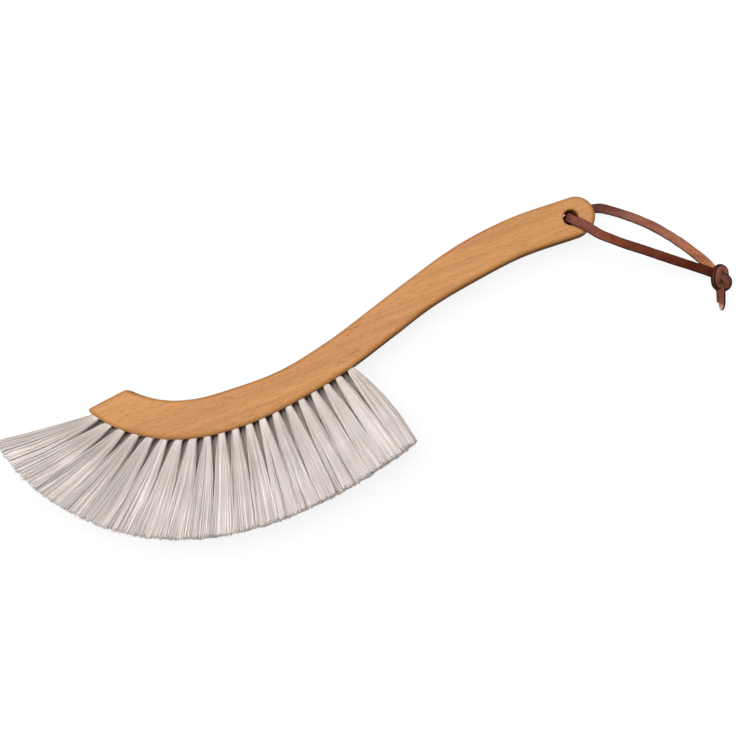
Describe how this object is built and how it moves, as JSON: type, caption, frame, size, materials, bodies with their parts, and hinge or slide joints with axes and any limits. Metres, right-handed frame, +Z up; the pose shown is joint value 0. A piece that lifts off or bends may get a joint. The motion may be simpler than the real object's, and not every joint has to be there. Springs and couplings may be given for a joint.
{
  "type": "dusting brush",
  "caption": "Long dusting brush with a curved wooden handle, a fan of soft hair tufts along its head and a knotted leather hanging thong.",
  "frame": {"origin": "centre of the underside of the box around the handle and the tufts, where the brush stands as it lies on its side", "axes": "+X along the brush from the head to the grip, +Y from the hair towards the handle, +Z up through the thickness of the board"},
  "size_m": [0.4041, 0.1892, 0.0268],
  "materials": {
    "oiled_beech": "smooth oiled beech, satin, with fine dark flecks along the grain",
    "goat_hair": "soft pale grey-beige goat hair, straight, matt to silky",
    "brown_leather": "reddish-brown leather lace, smooth grain side, paler nap side, dark cut edges"
  },
  "bodies": {
    "brush": {"handle": "oiled_beech", "front_tuft_01": "goat_hair", "front_tuft_02": "goat_hair", "front_tuft_03": "goat_hair", "front_tuft_04": "goat_hair", "front_tuft_05": "goat_hair", "front_tuft_06": "goat_hair", "front_tuft_07": "goat_hair", "front_tuft_08": "goat_hair", "front_tuft_09": "goat_hair", "front_tuft_10": "goat_hair", "front_tuft_11": "goat_hair", "front_tuft_12": "goat_hair", "front_tuft_13": "goat_hair", "front_tuft_14": "goat_hair", "front_tuft_15": "goat_hair", "front_tuft_16": "goat_hair", "front_tuft_17": "goat_hair", "front_tuft_18": "goat_hair", "front_tuft_19": "goat_hair", "front_tuft_20": "goat_hair", "back_tuft_01": "goat_hair", "back_tuft_02": "goat_hair", "back_tuft_03": "goat_hair", "back_tuft_04": "goat_hair", "back_tuft_05": "goat_hair", "back_tuft_06": "goat_hair", "back_tuft_07": "goat_hair", "back_tuft_08": "goat_hair", "back_tuft_09": "goat_hair", "back_tuft_10": "goat_hair", "back_tuft_11": "goat_hair", "back_tuft_12": "goat_hair", "back_tuft_13": "goat_hair", "back_tuft_14": "goat_hair", "back_tuft_15": "goat_hair", "back_tuft_16": "goat_hair", "back_tuft_17": "goat_hair", "back_tuft_18": "goat_hair", "back_tuft_19": "goat_hair"},
    "thong": {"thong_bight": "brown_leather", "thong_front_leg": "brown_leather", "thong_back_leg": "brown_leather", "thong_knot": "brown_leather", "thong_front_tail": "brown_leather", "thong_back_tail": "brown_leather"}
  },
  "joints": [
    {"name": "thong_swing", "type": "hinge", "parent": "brush", "child": "thong", "pos_m": [0.14924, 0.0828, 0], "axis": [0, 0, 1], "range_deg": [-90, 120]}
  ]
}
